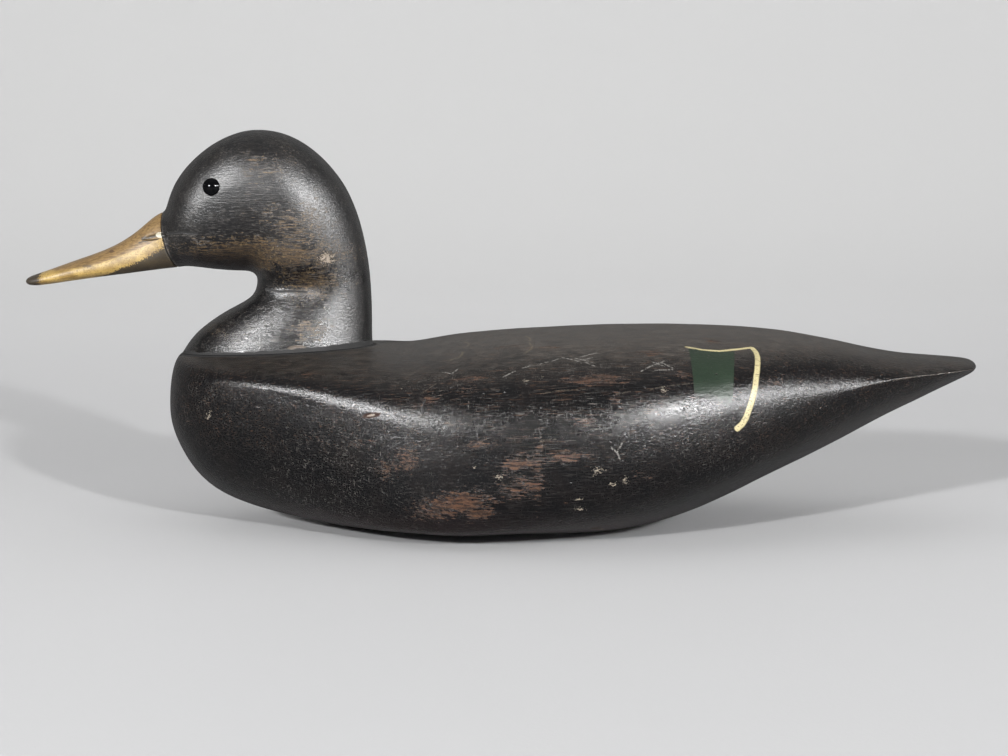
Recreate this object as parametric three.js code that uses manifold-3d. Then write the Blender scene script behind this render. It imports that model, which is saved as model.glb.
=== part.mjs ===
// A carved wooden black duck decoy, in millimetres: a plump body with a planed flat underside, a
// head, neck and bill carved as one and seated on the breast, and two glass eyes.
// The bill points along -X, the tail along +X and the crown along +Z. The origin is on the
// surface that the decoy stands on, under the middle of its length.
import * as THREE from 'three';
import { mergeVertices } from 'three/addons/utils/BufferGeometryUtils.js';
import Module from 'manifold-3d';

const wasm = await Module();
wasm.setup();

// Stations of the body from breast to tail. top and bottom are the outline in side view, half
// is the half breadth, waist the height of the widest line, edge the roundness across (2 is
// round, 1 meets in a sharp edge) and flat the half breadth of the planed underside, whose outer
// half rises a little toward its rim.
const BODY_COLUMNS = ['x', 'top', 'bottom', 'half', 'waist', 'edge', 'flat'];
const BODY_STATIONS = [
  [-153.6, 57.0, 57.0, 0, 57.0, 2.2, 0],
  [-152.4, 70.0, 47.8, 14.5, 57.5, 2.2, 0],
  [-148.6, 80.5, 36.6, 25, 61.5, 2.2, 0],
  [-137.5, 82.0, 20.7, 36.5, 68.0, 2.2, 0],
  [-118.5, 82.4, 10.2, 47, 70.0, 2.15, 0],
  [-92.0, 83.0, 4, 57, 68.0, 2.1, 14.0],
  [-60.0, 84.2, 1, 68, 60.0, 2.2, 44.0],
  [-42.0, 83.8, 0.8, 73.5, 54.5, 2.35, 59.0],
  [-20.0, 87.3, 0, 78, 49.5, 2.45, 65.0],
  [15.0, 90.4, 0, 81, 45.0, 2.5, 51.0],
  [55.0, 92.0, 0.6, 79, 51.0, 2.5, 12.0],
  [90.0, 92.0, 9.7, 71, 56.5, 2.45, 0],
  [120.0, 90.8, 23.6, 59.5, 62.0, 2.3, 0],
  [148.0, 87.2, 36.4, 46, 67.0, 1.85, 0],
  [172.0, 82.2, 48.5, 35, 71.3, 1.35, 0],
  [190.0, 79.5, 57.5, 28, 73.0, 1.05, 0],
  [206.0, 78.4, 65.4, 22.5, 74.0, 1.05, 0],
  [215.6, 77.5, 70.2, 16.5, 74.6, 1.2, 0],
  [219.0, 76.6, 72.6, 9.5, 74.9, 1.4, 0],
  [220.0, 75.0, 75.0, 0, 75.0, 1.5, 0],
];
const BODY_FULLNESS = { below: 2.1, above: 2.6 };
const UNDERSIDE_RISE = 0.11;

// The seat is the flat on the breast that the neck stands on. It rises a little to the rear.
const SEAT_FRONT = { x: -148.6, z: 80.5 };
const SEAT_REAR = { x: -60, z: 84.2 };
const SEAT_GAP = 0.3;

// Stations of the head from bill tip to the foot of the neck. Each section is a slanting slice
// from a low point (bill underside, chin, throat) to a high one (bill top, crown, nape), widest
// at the fraction mid between them. high and low fullness are its roundness on either side.
const HEAD_COLUMNS = ['lowX', 'lowZ', 'highX', 'highZ', 'half', 'mid', 'highFullness', 'lowFullness'];
const HEAD_STATIONS = [
  [-220.0, 113.4, -220.0, 113.4, 0, 0.5, 2, 2.4],
  [-217.6, 111.7, -218.3, 115.5, 7.5, 0.45, 2, 2.4],
  [-210.0, 112.1, -210.5, 118.3, 10.8, 0.4, 2, 2.6],
  [-197.0, 114.0, -197.5, 122.9, 11.8, 0.34, 2, 2.7],
  [-182.0, 116.0, -183.5, 127.9, 11.2, 0.3, 2, 2.7],
  [-167.0, 117.9, -170.5, 134.9, 10.6, 0.32, 2, 2.6],
  [-156.0, 119.3, -161.0, 142.6, 11.2, 0.36, 2, 2.5],
  [-149.6, 120.0, -156.2, 145.5, 12.6, 0.4, 2, 2.4],
  [-145.5, 120.4, -153.9, 148.9, 15.0, 0.45, 2.1, 2.3],
  [-139.0, 119.9, -149.7, 158.9, 19.6, 0.52, 2.3, 2.3],
  [-130.0, 118.9, -139.7, 171, 23.2, 0.58, 2.5, 2.2],
  [-122.0, 118.4, -124.5, 180.5, 25.2, 0.6, 2.5, 2.1],
  [-116.5, 118.0, -107.5, 182.9, 26.0, 0.6, 2.4, 2],
  [-113.6, 116.2, -90.2, 176.4, 26.0, 0.6, 2.3, 2],
  [-113.0, 113.6, -74.2, 160.4, 24.8, 0.58, 2.2, 2],
  [-113.8, 109.8, -65.3, 140.5, 22.2, 0.55, 2.2, 2],
  [-117.5, 105.2, -61.7, 122.8, 19.8, 0.54, 2.2, 2],
  [-128.1, 99.2, -60.4, 109.5, 19.6, 0.54, 2.2, 2],
  [-140.7, 90.1, -60.1, 96.6, 21.8, 0.52, 2.2, 2.1],
  [-148.2, 80.5, -60.0, 84.2, 24.5, 0.5, 2.2, 2.2],
];
const NECK_FOOT = { half: 24.5, fullness: 2.2 };

// How the sides of the neck are drawn in right below the cheek: height, reach up and down, the
// share of the breadth that goes, and where along the neck that ends, toward the nape.
const TUCK = { z: 112, reach: 7.5, share: 0.16, fullAt: -92, goneAt: -70 };

// The groove carved where the bill meets the face, at this station. Its line bows toward the tip.
const BILL_SEAM = { station: 7, depth: 0.7, reach: 0.16, bow: 1.6, bowReach: 1.2 };

const NOSTRIL = { x: -158.5, z: 134.9, length: 12.5, height: 2.7, depth: 1.2, slope: 0.17 };
const EYE = { x: -130.4, z: 158.2, radius: 4, dome: 2, sunk: 3, clearance: 0.3 };

const BODY_STEPS = 2;
const HEAD_STEPS = 3;
const BODY_ARC = 9;
const HEAD_ARC = 8;
const HALF_SECTION_STRIPS = { underside: 2, seat: 3 };
const EYE_SIDES = 24;
const EYE_ARC = 6;
const NOSTRIL_SIDES = 20;
const NOSTRIL_ARC = 12;
const MOST_PLANED = 0.88;

const PAINT = { black: 0x2b292a, headBlack: 0x35322f, glass: 0x08080a };

// A smooth curve through the rows, read at a fractional row number. Before the first row and
// after the last one it follows the phantom row that close gives.
function stationAt(rows, columns, place, close) {
  const index = Math.min(Math.floor(place), rows.length - 2);
  const t = place - index;
  const before = rows[index - 1] ?? close(rows[0], rows[1]);
  const after = rows[index + 2] ?? close(rows.at(-1), rows.at(-2));
  const station = {};
  columns.forEach((name, k) => {
    const [p0, p1, p2, p3] = [before[k], rows[index][k], rows[index + 1][k], after[k]];
    const linear = (p2 - p0) * t;
    const square = (2 * p0 - 5 * p1 + 4 * p2 - p3) * t * t;
    const cube = (3 * p1 - p0 - 3 * p2 + p3) * t * t * t;
    station[name] = (2 * p1 + linear + square + cube) / 2;
  });
  return station;
}

// The outline goes on past an end as its own mirror image, so that the end closes round.
function roundBodyEnd(end, next) {
  const [x, , , , waist, edge, flat] = next;
  return [x, 2 * end[1] - next[1], 2 * end[2] - next[2], -next[3], waist, edge, flat];
}

function roundHeadEnd(end, next) {
  if (end[4] > 0) return end.map((value, k) => 2 * value - next[k]);
  const [lowX, lowZ, highX, highZ, half, ...rest] = next;
  return [lowX, 2 * end[1] - lowZ, highX, 2 * end[3] - highZ, -half, ...rest];
}

// Height of the seat at x, and half the breadth of the neck's foot there.
function seatAt(x) {
  const t = (x - SEAT_FRONT.x) / (SEAT_REAR.x - SEAT_FRONT.x);
  const height = THREE.MathUtils.lerp(SEAT_FRONT.z, SEAT_REAR.z, t);
  const round = Math.max(0, 1 - (2 * t - 1) ** 2);
  return { height, half: NECK_FOOT.half * round ** (1 / NECK_FOOT.fullness) };
}

// One side of a body section as [y, z], from the middle of the underside to the middle of the
// back. Where the neck stands, the crown is planed down to the seat.
function bodySide(station) {
  const half = Math.max(station.half, 0);
  const bottom = Math.max(station.bottom, 0);
  const flat = Math.max(Math.min(station.flat, MOST_PLANED * half), 0);
  const rim = bottom + UNDERSIDE_RISE * flat;
  const seat = seatAt(station.x);
  let top = station.top;
  let lastAngle = Math.PI / 2;
  if (seat.half > 0) {
    const fall = (1 - (seat.half / half) ** BODY_FULLNESS.above) ** (1 / station.edge);
    top = station.waist + (seat.height - station.waist) / fall;
    lastAngle = Math.acos((seat.half / half) ** (BODY_FULLNESS.above / 2));
  }
  const side = [];
  for (let k = 0; k < HALF_SECTION_STRIPS.underside; k++) {
    side.push([(flat * k) / HALF_SECTION_STRIPS.underside, bottom]);
  }
  for (let k = 0; k <= BODY_ARC; k++) {
    const angle = (Math.PI / 2) * (1 - k / BODY_ARC);
    const out = k === 0 ? 0 : Math.cos(angle) ** (2 / BODY_FULLNESS.below);
    const down = Math.sin(angle) ** (2 / station.edge);
    side.push([flat + (half - flat) * out, station.waist + (rim - station.waist) * down]);
  }
  for (let k = 1; k <= BODY_ARC; k++) {
    const angle = (lastAngle * k) / BODY_ARC;
    const out = Math.max(Math.cos(angle), 0) ** (2 / BODY_FULLNESS.above);
    const up = Math.sin(angle) ** (2 / station.edge);
    side.push([half * out, station.waist + (top - station.waist) * up]);
  }
  const crown = side.at(-1);
  for (let k = HALF_SECTION_STRIPS.seat - 1; k >= 0; k--) {
    side.push([(crown[0] * k) / HALF_SECTION_STRIPS.seat, crown[1]]);
  }
  return side;
}

// One side of a head section as [y, t], t running from the low point to the high one.
function headSide(station) {
  const half = Math.max(station.half, 0);
  const side = [];
  for (let k = 0; k < HEAD_ARC; k++) {
    const angle = (Math.PI / 2) * (1 - k / HEAD_ARC);
    const out = k === 0 ? 0 : Math.cos(angle) ** (2 / station.lowFullness);
    side.push([half * out, station.mid * (1 - Math.sin(angle))]);
  }
  for (let k = 0; k <= HEAD_ARC; k++) {
    const angle = ((Math.PI / 2) * k) / HEAD_ARC;
    const out = k === HEAD_ARC ? 0 : Math.cos(angle) ** (2 / station.highFullness);
    side.push([half * out, station.mid + (1 - station.mid) * Math.sin(angle)]);
  }
  return side;
}

// The whole ring of a section: its -Y side going up, then its +Y side going down.
function ringOf(side, toPoint) {
  const near = side.map(([y, v]) => toPoint(-y, v));
  const far = side.slice(1, -1).reverse().map(([y, v]) => toPoint(y, v));
  return [...near, ...far];
}

// Skins a row of rings, closes both ends and drops the faces that collapse at a round end.
function skin(rings) {
  const count = rings[0].length;
  const points = rings.flat();
  const faces = [];
  for (let i = 0; i + 1 < rings.length; i++) {
    for (let j = 0; j < count; j++) {
      const a = i * count + j;
      const b = i * count + ((j + 1) % count);
      faces.push([a, b + count, b], [a, a + count, b + count]);
    }
  }
  for (const [start, turn] of [[0, 1], [points.length - count, -1]]) {
    const middle = points.slice(start, start + count)
      .reduce((sum, point) => sum.add(point), new THREE.Vector3())
      .divideScalar(count);
    points.push(middle);
    for (let j = 0; j < count; j++) {
      const pair = [start + j, start + ((j + 1) % count)];
      faces.push(turn > 0 ? [...pair, points.length - 1] : [pair[1], pair[0], points.length - 1]);
    }
  }
  return weld(new THREE.BufferGeometry().setFromPoints(points).setIndex(faces.flat()));
}

// Joins vertices that share a place and leaves out faces without area.
function weld(geometry) {
  geometry.deleteAttribute('normal');
  geometry.deleteAttribute('uv');
  const merged = mergeVertices(geometry, 1e-3);
  const index = merged.index.array;
  const kept = [];
  for (let i = 0; i < index.length; i += 3) {
    const [a, b, c] = index.slice(i, i + 3);
    if (a !== b && b !== c && c !== a) kept.push(a, b, c);
  }
  merged.setIndex(kept);
  return merged;
}

function solidOf(geometry) {
  const welded = weld(geometry);
  return new wasm.Manifold(new wasm.Mesh({
    numProp: 3,
    vertProperties: new Float32Array(welded.attributes.position.array),
    triVerts: new Uint32Array(welded.index.array),
  }));
}

function geometryOf(solid) {
  const { vertProperties, triVerts } = solid.getMesh();
  const geometry = new THREE.BufferGeometry();
  geometry.setAttribute('position', new THREE.BufferAttribute(vertProperties, 3));
  geometry.setIndex(new THREE.BufferAttribute(triVerts, 1));
  return geometry;
}

function bodyGeometry() {
  const rings = [];
  for (let k = 0; k <= (BODY_STATIONS.length - 1) * BODY_STEPS; k++) {
    const station = stationAt(BODY_STATIONS, BODY_COLUMNS, k / BODY_STEPS, roundBodyEnd);
    rings.push(ringOf(bodySide(station), (y, z) => new THREE.Vector3(station.x, y, z)));
  }
  return skin(rings);
}

// Places of the head's rings, with close ones on both sides of the bill's groove.
function headPlaces() {
  const { station, reach } = BILL_SEAM;
  const places = [station - reach, station + reach];
  for (let k = 0; k <= (HEAD_STATIONS.length - 1) * HEAD_STEPS; k++) places.push(k / HEAD_STEPS);
  return places.sort((a, b) => a - b);
}

// The share of the head's breadth that is left where the cheek overhangs the neck.
function tuck(x, z) {
  const level = Math.exp(-(((z - TUCK.z) / TUCK.reach) ** 2));
  return 1 - TUCK.share * level * (1 - THREE.MathUtils.smoothstep(x, TUCK.fullAt, TUCK.goneAt));
}

function headGeometry() {
  const rings = headPlaces().map((place) => {
    const station = stationAt(HEAD_STATIONS, HEAD_COLUMNS, place, roundHeadEnd);
    const fromSeam = Math.abs(place - BILL_SEAM.station);
    const groove = BILL_SEAM.depth * Math.max(0, 1 - fromSeam / BILL_SEAM.reach);
    const bow = BILL_SEAM.bow * Math.exp(-((fromSeam / BILL_SEAM.bowReach) ** 2));
    const low = new THREE.Vector3(station.lowX, 0, station.lowZ + SEAT_GAP);
    const high = new THREE.Vector3(station.highX, 0, station.highZ + SEAT_GAP);
    const rise = high.clone().sub(low);
    low.addScaledVector(rise, groove / Math.max(rise.length(), 1));
    rise.multiplyScalar(1 - (2 * groove) / Math.max(rise.length(), 1));
    return ringOf(headSide({ ...station, half: station.half - groove }), (y, t) => {
      const point = low.clone().addScaledVector(rise, t);
      const x = point.x - bow * 4 * t * (1 - t);
      return point.set(x, y * tuck(x, point.z), point.z);
    });
  });
  return skin(rings);
}

// Where a line straight in from one side meets the head, and a way out of the wood that is
// halfway between how the wood faces there and straight to that side.
function spotOnHead(headMesh, { x, z }, side) {
  const far = 100;
  const start = new THREE.Vector3(x, side * far, z);
  const ray = new THREE.Raycaster(start, new THREE.Vector3(0, -side, 0));
  const [hit] = ray.intersectObject(headMesh);
  const outward = hit.face.normal.clone().add(new THREE.Vector3(0, side, 0)).normalize();
  return { point: hit.point, outward };
}

// Turns a shape that was made along +Y to face outward, and moves it to its spot.
function placeAt(geometry, { point, outward }) {
  const turn = new THREE.Quaternion().setFromUnitVectors(new THREE.Vector3(0, 1, 0), outward);
  return geometry.applyQuaternion(turn).translate(point.x, point.y, point.z);
}

// A glass eye: a short round plug with a domed face, made along +Y.
function eyeGeometry() {
  const { radius, dome, sunk, clearance } = EYE;
  const ball = (radius * radius + dome * dome) / (2 * dome);
  const sweep = Math.asin(radius / ball);
  const profile = [new THREE.Vector2(0, clearance - sunk), new THREE.Vector2(radius, clearance - sunk)];
  for (let k = 0; k <= EYE_ARC; k++) {
    const angle = sweep * (1 - k / EYE_ARC);
    profile.push(new THREE.Vector2(ball * Math.sin(angle), clearance + dome - ball * (1 - Math.cos(angle))));
  }
  profile.at(-1).x = 0;
  return new THREE.LatheGeometry(profile, EYE_SIDES);
}

function eyeSocket() {
  const { radius, sunk, clearance } = EYE;
  const above = 8;
  const socket = new THREE.CylinderGeometry(radius + clearance, radius + clearance, sunk + above, EYE_SIDES);
  return socket.translate(0, (above - sunk) / 2, 0);
}

// A shallow slot with rounded ends, lying along the bill.
function nostrilCutter(side, spot) {
  const { length, height, depth, slope } = NOSTRIL;
  const cutter = new THREE.SphereGeometry(1, NOSTRIL_SIDES, NOSTRIL_ARC);
  cutter.scale(length / 2, depth, height / 2);
  cutter.rotateY(slope);
  return cutter.translate(spot.point.x, spot.point.y, spot.point.z);
}

function paintedMesh(name, geometry, color, roughness) {
  const mesh = new THREE.Mesh(geometry, new THREE.MeshStandardMaterial({ color, roughness, metalness: 0 }));
  mesh.name = name;
  geometry.computeVertexNormals();
  return mesh;
}

const duck = new THREE.Group();
duck.add(paintedMesh('body', bodyGeometry(), PAINT.black, 0.45));

const carvedHead = headGeometry();
const plainHead = new THREE.Mesh(carvedHead);
let head = solidOf(carvedHead.clone());
const sides = { eye_left: 1, eye_right: -1 };
for (const [name, side] of Object.entries(sides)) {
  const eyeSpot = spotOnHead(plainHead, EYE, side);
  head = head.subtract(solidOf(placeAt(eyeSocket(), eyeSpot)));
  head = head.subtract(solidOf(nostrilCutter(side, spotOnHead(plainHead, NOSTRIL, side))));
  duck.add(paintedMesh(name, weld(placeAt(eyeGeometry(), eyeSpot)), PAINT.glass, 0.05));
}
duck.add(paintedMesh('head', geometryOf(head), PAINT.headBlack, 0.4));

export default duck;
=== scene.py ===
# A carved wooden black duck decoy: a plump painted body with a planed flat underside, a head,
# neck and bill carved as one, and two glass eyes. Lengths are in millimetres until a mesh is
# made, which is in metres. The bill points along -X, and the near side is the -Y side.
import math
from itertools import product

import bpy
import numpy as np
from mathutils import Matrix, Vector
from mathutils.bvhtree import BVHTree


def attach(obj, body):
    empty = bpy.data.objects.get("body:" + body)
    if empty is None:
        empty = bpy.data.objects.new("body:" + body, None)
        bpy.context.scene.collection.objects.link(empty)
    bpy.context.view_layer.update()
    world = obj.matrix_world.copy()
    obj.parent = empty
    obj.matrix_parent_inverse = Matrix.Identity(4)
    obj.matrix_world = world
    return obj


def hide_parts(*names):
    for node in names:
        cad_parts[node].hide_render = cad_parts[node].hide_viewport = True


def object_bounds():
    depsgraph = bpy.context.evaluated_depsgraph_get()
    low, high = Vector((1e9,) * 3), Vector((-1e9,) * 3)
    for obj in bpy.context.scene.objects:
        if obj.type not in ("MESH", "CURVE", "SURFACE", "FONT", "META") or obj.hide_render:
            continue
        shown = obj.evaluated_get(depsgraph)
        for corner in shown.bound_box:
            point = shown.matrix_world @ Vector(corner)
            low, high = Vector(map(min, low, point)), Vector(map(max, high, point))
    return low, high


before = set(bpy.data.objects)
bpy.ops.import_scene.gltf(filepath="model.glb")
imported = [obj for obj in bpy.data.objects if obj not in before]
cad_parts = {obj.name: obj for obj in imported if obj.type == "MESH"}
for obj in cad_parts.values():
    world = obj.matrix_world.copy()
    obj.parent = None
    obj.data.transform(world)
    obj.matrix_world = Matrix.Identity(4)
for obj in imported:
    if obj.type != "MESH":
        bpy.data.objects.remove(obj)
cad_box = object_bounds()

MM = 0.001

# The camera of the photograph.
CAMERA_TARGET = Vector((1.2, 0, 68.4)) * MM
CAMERA_DISTANCE = 1.0
CAMERA_ELEVATION = math.radians(7.5)
CAMERA_LENS = 76.6

# The lamps beside the camera, in metres.
LAMP_TARGET = Vector((0, 0, 0.08))
LAMP_DISTANCE = 2.2
LAMP_ELEVATION = math.radians(18.5)

# Stations of the body from breast to tail: x, top, bottom, half breadth, height of the widest
# line, roundness across (2 is round, 1 meets in a sharp edge), and half breadth of the planed
# underside, whose outer half rises a little toward its rim.
BODY_ROWS = [
    (-153.6, 57.0, 57.0, 0, 57.0, 2.2, 0),
    (-152.4, 70.0, 47.8, 14.5, 57.5, 2.2, 0),
    (-148.6, 80.5, 36.6, 25, 61.5, 2.2, 0),
    (-137.5, 82.0, 20.7, 36.5, 68.0, 2.2, 0),
    (-118.5, 82.4, 10.2, 47, 70.0, 2.15, 0),
    (-92.0, 83.0, 4, 57, 68.0, 2.1, 14.0),
    (-60.0, 84.2, 1, 68, 60.0, 2.2, 44.0),
    (-42.0, 83.8, 0.8, 73.5, 54.5, 2.35, 59.0),
    (-20.0, 87.3, 0, 78, 49.5, 2.45, 65.0),
    (15.0, 90.4, 0, 81, 45.0, 2.5, 51.0),
    (55.0, 92.0, 0.6, 79, 51.0, 2.5, 12.0),
    (90.0, 92.0, 9.7, 71, 56.5, 2.45, 0),
    (120.0, 90.8, 23.6, 59.5, 62.0, 2.3, 0),
    (148.0, 87.2, 36.4, 46, 67.0, 1.85, 0),
    (172.0, 82.2, 48.5, 35, 71.3, 1.35, 0),
    (190.0, 79.5, 57.5, 28, 73.0, 1.05, 0),
    (206.0, 78.4, 65.4, 22.5, 74.0, 1.05, 0),
    (215.6, 77.5, 70.2, 16.5, 74.6, 1.2, 0),
    (219.0, 76.6, 72.6, 9.5, 74.9, 1.4, 0),
    (220.0, 75.0, 75.0, 0, 75.0, 1.5, 0),
]
# Which columns are turned over past each end, so that the ends close smoothly.
BODY_TURNED = np.array([0, 1, 1, 1, 0, 0, 0], bool)
BODY_FULLNESS = {"below": 2.1, "above": 2.6}
UNDERSIDE_RISE = 0.11
MOST_PLANED = 0.88
# How many rings there are, how many points each has below and above its widest line, how much
# these crowd toward that line, and how finely the curve is read to space the rings.
BODY_RINGS = 318
BODY_LOWER = 62
BODY_UPPER = 90
BODY_CROWD = 1.3
BODY_READS = 4000

# The seat that the neck stands on, and the foot of the neck.
SEAT_FRONT = (-148.6, 80.5)
SEAT_REAR = (-60.0, 84.2)
SEAT_GAP = 0.3
FOOT_HALF = 24.5
FOOT_FULLNESS = 2.2

# Stations of the head from bill tip to the foot of the neck: low point x and z, high point x
# and z, half breadth, where it is widest, and its roundness above and below that.
HEAD_ROWS = [
    (-220.0, 113.4, -220.0, 113.4, 0, 0.5, 2, 2.4),
    (-217.6, 111.7, -218.3, 115.5, 7.5, 0.45, 2, 2.4),
    (-210.0, 112.1, -210.5, 118.3, 10.8, 0.4, 2, 2.6),
    (-197.0, 114.0, -197.5, 122.9, 11.8, 0.34, 2, 2.7),
    (-182.0, 116.0, -183.5, 127.9, 11.2, 0.3, 2, 2.7),
    (-167.0, 117.9, -170.5, 134.9, 10.6, 0.32, 2, 2.6),
    (-156.0, 119.3, -161.0, 142.6, 11.2, 0.36, 2, 2.5),
    (-149.6, 120.0, -156.2, 145.5, 12.6, 0.4, 2, 2.4),
    (-145.5, 120.4, -153.9, 148.9, 15.0, 0.45, 2.1, 2.3),
    (-139.0, 119.9, -149.7, 158.9, 19.6, 0.52, 2.3, 2.3),
    (-130.0, 118.9, -139.7, 171, 23.2, 0.58, 2.5, 2.2),
    (-122.0, 118.4, -124.5, 180.5, 25.2, 0.6, 2.5, 2.1),
    (-116.5, 118.0, -107.5, 182.9, 26.0, 0.6, 2.4, 2),
    (-113.6, 116.2, -90.2, 176.4, 26.0, 0.6, 2.3, 2),
    (-113.0, 113.6, -74.2, 160.4, 24.8, 0.58, 2.2, 2),
    (-113.8, 109.8, -65.3, 140.5, 22.2, 0.55, 2.2, 2),
    (-117.5, 105.2, -61.7, 122.8, 19.8, 0.54, 2.2, 2),
    (-128.1, 99.2, -60.4, 109.5, 19.6, 0.54, 2.2, 2),
    (-140.7, 90.1, -60.1, 96.6, 21.8, 0.52, 2.2, 2.1),
    (-148.2, 80.5, -60.0, 84.2, 24.5, 0.5, 2.2, 2.2),
]
TIP_TURNED = np.array([0, 1, 0, 1, 1, 0, 0, 0], bool)
FOOT_TURNED = np.ones(8, bool)
HEAD_RINGS = 430
HEAD_LOWER = 48
HEAD_UPPER = 52
HEAD_READS = 6000

# The groove where the bill meets the face, at this station. Its line bows toward the tip.
SEAM_STATION = 7
SEAM_DEPTH = 0.8
SEAM_REACH = 0.13
SEAM_BOW = 1.6
SEAM_BOW_REACH = 1.2

NOSTRIL = {"x": -158.5, "z": 134.9, "length": 12.5, "height": 2.7, "depth": 0.9, "slope": 0.17}
EYE = {"x": -130.4, "z": 158.2, "radius": 4.0, "dome": 2.0, "sunk": 3.0, "clearance": 0.3}

# How the sides of the neck are drawn in right below the cheek: height, reach up and down, the
# share of the breadth that goes, and where along the neck that ends, toward the nape.
TUCK = {"z": 112.0, "reach": 7.5, "share": 0.16, "ends": (-92.0, -70.0)}

# Edges between faces that meet at more than this stay crisp.
SHARP_ANGLE = math.radians(50)


# Numbers

def smoothstep(value, low, high):
    """0 below low and 1 above high, with a soft rise between them."""
    t = np.clip((value - low) / (high - low), 0, 1)
    return t * t * (3 - 2 * t)


def smooth_noise(points, size, seed):
    """Noise of about -1 to 1 at points in mm, with lumps of that size, the same on every run."""
    rng = np.random.default_rng(seed)
    table = rng.permutation(256)
    slopes = rng.normal(size=(256, 3))
    slopes /= np.linalg.norm(slopes, axis=1)[:, None]
    scaled = points / size
    cell = np.floor(scaled).astype(int)
    part = scaled - cell
    fade = part**3 * (part * (part * 6 - 15) + 10)
    total = np.zeros(len(points))
    for corner in product((0, 1), repeat=3):
        spot = (cell + corner) & 255
        pick = table[(table[(table[spot[:, 0]] + spot[:, 1]) & 255] + spot[:, 2]) & 255]
        weight = np.prod(np.where(corner, fade, 1 - fade), axis=1)
        total += weight * np.sum(slopes[pick] * (part - corner), axis=1)
    return total * 1.6


class Outline:
    """A curve through rows of numbers, even in its bend, read at fractional row numbers.

    Past each end it goes on as its mirror image, turned over in the columns that say so.
    """

    SPARE = 5

    def __init__(self, rows, turned_at_start, turned_at_end):
        rows = np.array(rows, float)
        self.last = len(rows) - 1
        before = self.mirror(rows, turned_at_start)
        after = self.mirror(rows[::-1], turned_at_end)[::-1]
        rows = np.vstack([before, rows, after])
        count = len(rows)
        share = 4 * np.eye(count) + np.eye(count, k=1) + np.eye(count, k=-1)
        share[[0, -1]] = 0
        share[0, 0] = share[-1, -1] = 6
        self.controls = np.linalg.solve(share / 6, rows)

    def mirror(self, rows, turned):
        return [np.where(turned, 2 * rows[0] - row, row) for row in rows[self.SPARE:0:-1]]

    def at(self, places):
        places = np.asarray(places, float)
        index = np.clip(np.floor(places).astype(int), 0, self.last - 1)
        t = (places - index)[:, None]
        p0, p1, p2, p3 = (self.controls[index + self.SPARE - 1 + k] for k in range(4))
        ends = (1 - t) ** 3 * p0 + t**3 * p3
        middle = (3 * t**3 - 6 * t**2 + 4) * p1 + (-3 * t**3 + 3 * t**2 + 3 * t + 1) * p2
        return (ends + middle) / 6


def evenly(values, count, crowd=None):
    """count places spread evenly along a path, whose rows are values at places 0, 1, 2 and on."""
    steps = np.abs(np.diff(values, axis=0)).max(axis=1)
    if crowd is not None:
        steps = steps * crowd[1:]
    along = np.concatenate([[0], np.cumsum(steps)])
    return np.interp(np.linspace(0, along[-1], count), along, np.arange(len(values)))


def resampled(line, fractions):
    """Points at these fractions of the length of a line of points."""
    steps = np.linalg.norm(np.diff(line, axis=0), axis=1)
    along = np.concatenate([[0], np.cumsum(steps)])
    along /= max(along[-1], 1e-9)
    return np.stack([np.interp(fractions, along, column) for column in line.T], axis=1)


def superellipse(half, edge_in, edge_up, count=160):
    """A quarter outline, from its widest point to its middle, as fractions out and up."""
    angle = np.linspace(0, math.pi / 2, count)
    out = np.maximum(np.cos(angle), 0) ** (2 / edge_in)
    up = np.sin(angle) ** (2 / edge_up)
    out[-1] = 0
    return half * out, up


# Body

def seat_at(x):
    """Height of the seat at x, and half the breadth of the neck's foot there."""
    t = (x - SEAT_FRONT[0]) / (SEAT_REAR[0] - SEAT_FRONT[0])
    height = SEAT_FRONT[1] + (SEAT_REAR[1] - SEAT_FRONT[1]) * t
    return height, FOOT_HALF * max(0, 1 - (2 * t - 1) ** 2) ** (1 / FOOT_FULLNESS)


def body_side(station):
    """One side of a body section as rows of (y, z), from the middle of the keel to the back."""
    x, top, bottom, half, waist, edge, flat = station
    half = max(half, 0.01)
    flat = max(min(flat, MOST_PLANED * half), 0)
    height, foot = seat_at(x)
    if foot > 0:
        fall = (1 - (foot / half) ** BODY_FULLNESS["above"]) ** (1 / edge)
        top = waist + (height - waist) / fall
    out, up = superellipse(half - flat, BODY_FULLNESS["below"], edge)
    rim = bottom + UNDERSIDE_RISE * flat
    lower = np.stack([flat + out, waist + (rim - waist) * up], axis=1)[::-1]
    lower = np.vstack([[(0, bottom), (flat / 2, bottom)], lower])
    out, up = superellipse(half, BODY_FULLNESS["above"], edge)
    upper = np.stack([out, waist + (top - waist) * up], axis=1)
    if foot > 0:
        upper[:, 1] = np.minimum(upper[:, 1], height)
    below = resampled(lower, 1 - (1 - np.arange(BODY_LOWER) / BODY_LOWER) ** BODY_CROWD)
    above = resampled(upper, (np.arange(BODY_UPPER + 1) / BODY_UPPER) ** BODY_CROWD)
    return np.vstack([below, above])


def ring_of(side):
    """A whole ring: the -Y side going up, then the +Y side going down."""
    far = side[-2:0:-1]
    return np.vstack([side * (-1, 1), far])


def softened(rings, rounds):
    """Rings with each corner across them eased by this many rounds of averaging."""
    for _ in range(rounds):
        rings = (np.roll(rings, 1, axis=1) + 2 * rings + np.roll(rings, -1, axis=1)) / 4
    return rings


def body_rings():
    outline = Outline(BODY_ROWS, BODY_TURNED, BODY_TURNED)
    fine = np.linspace(0, outline.last, BODY_READS)
    places = evenly(outline.at(fine)[:, :4], BODY_RINGS) / (BODY_READS - 1) * outline.last
    stations = outline.at(places)
    rings = []
    for station in stations:
        ring = ring_of(body_side(station))
        rings.append(np.column_stack([np.full(len(ring), station[0]), ring]))
    return softened(np.array(rings), 3)


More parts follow.
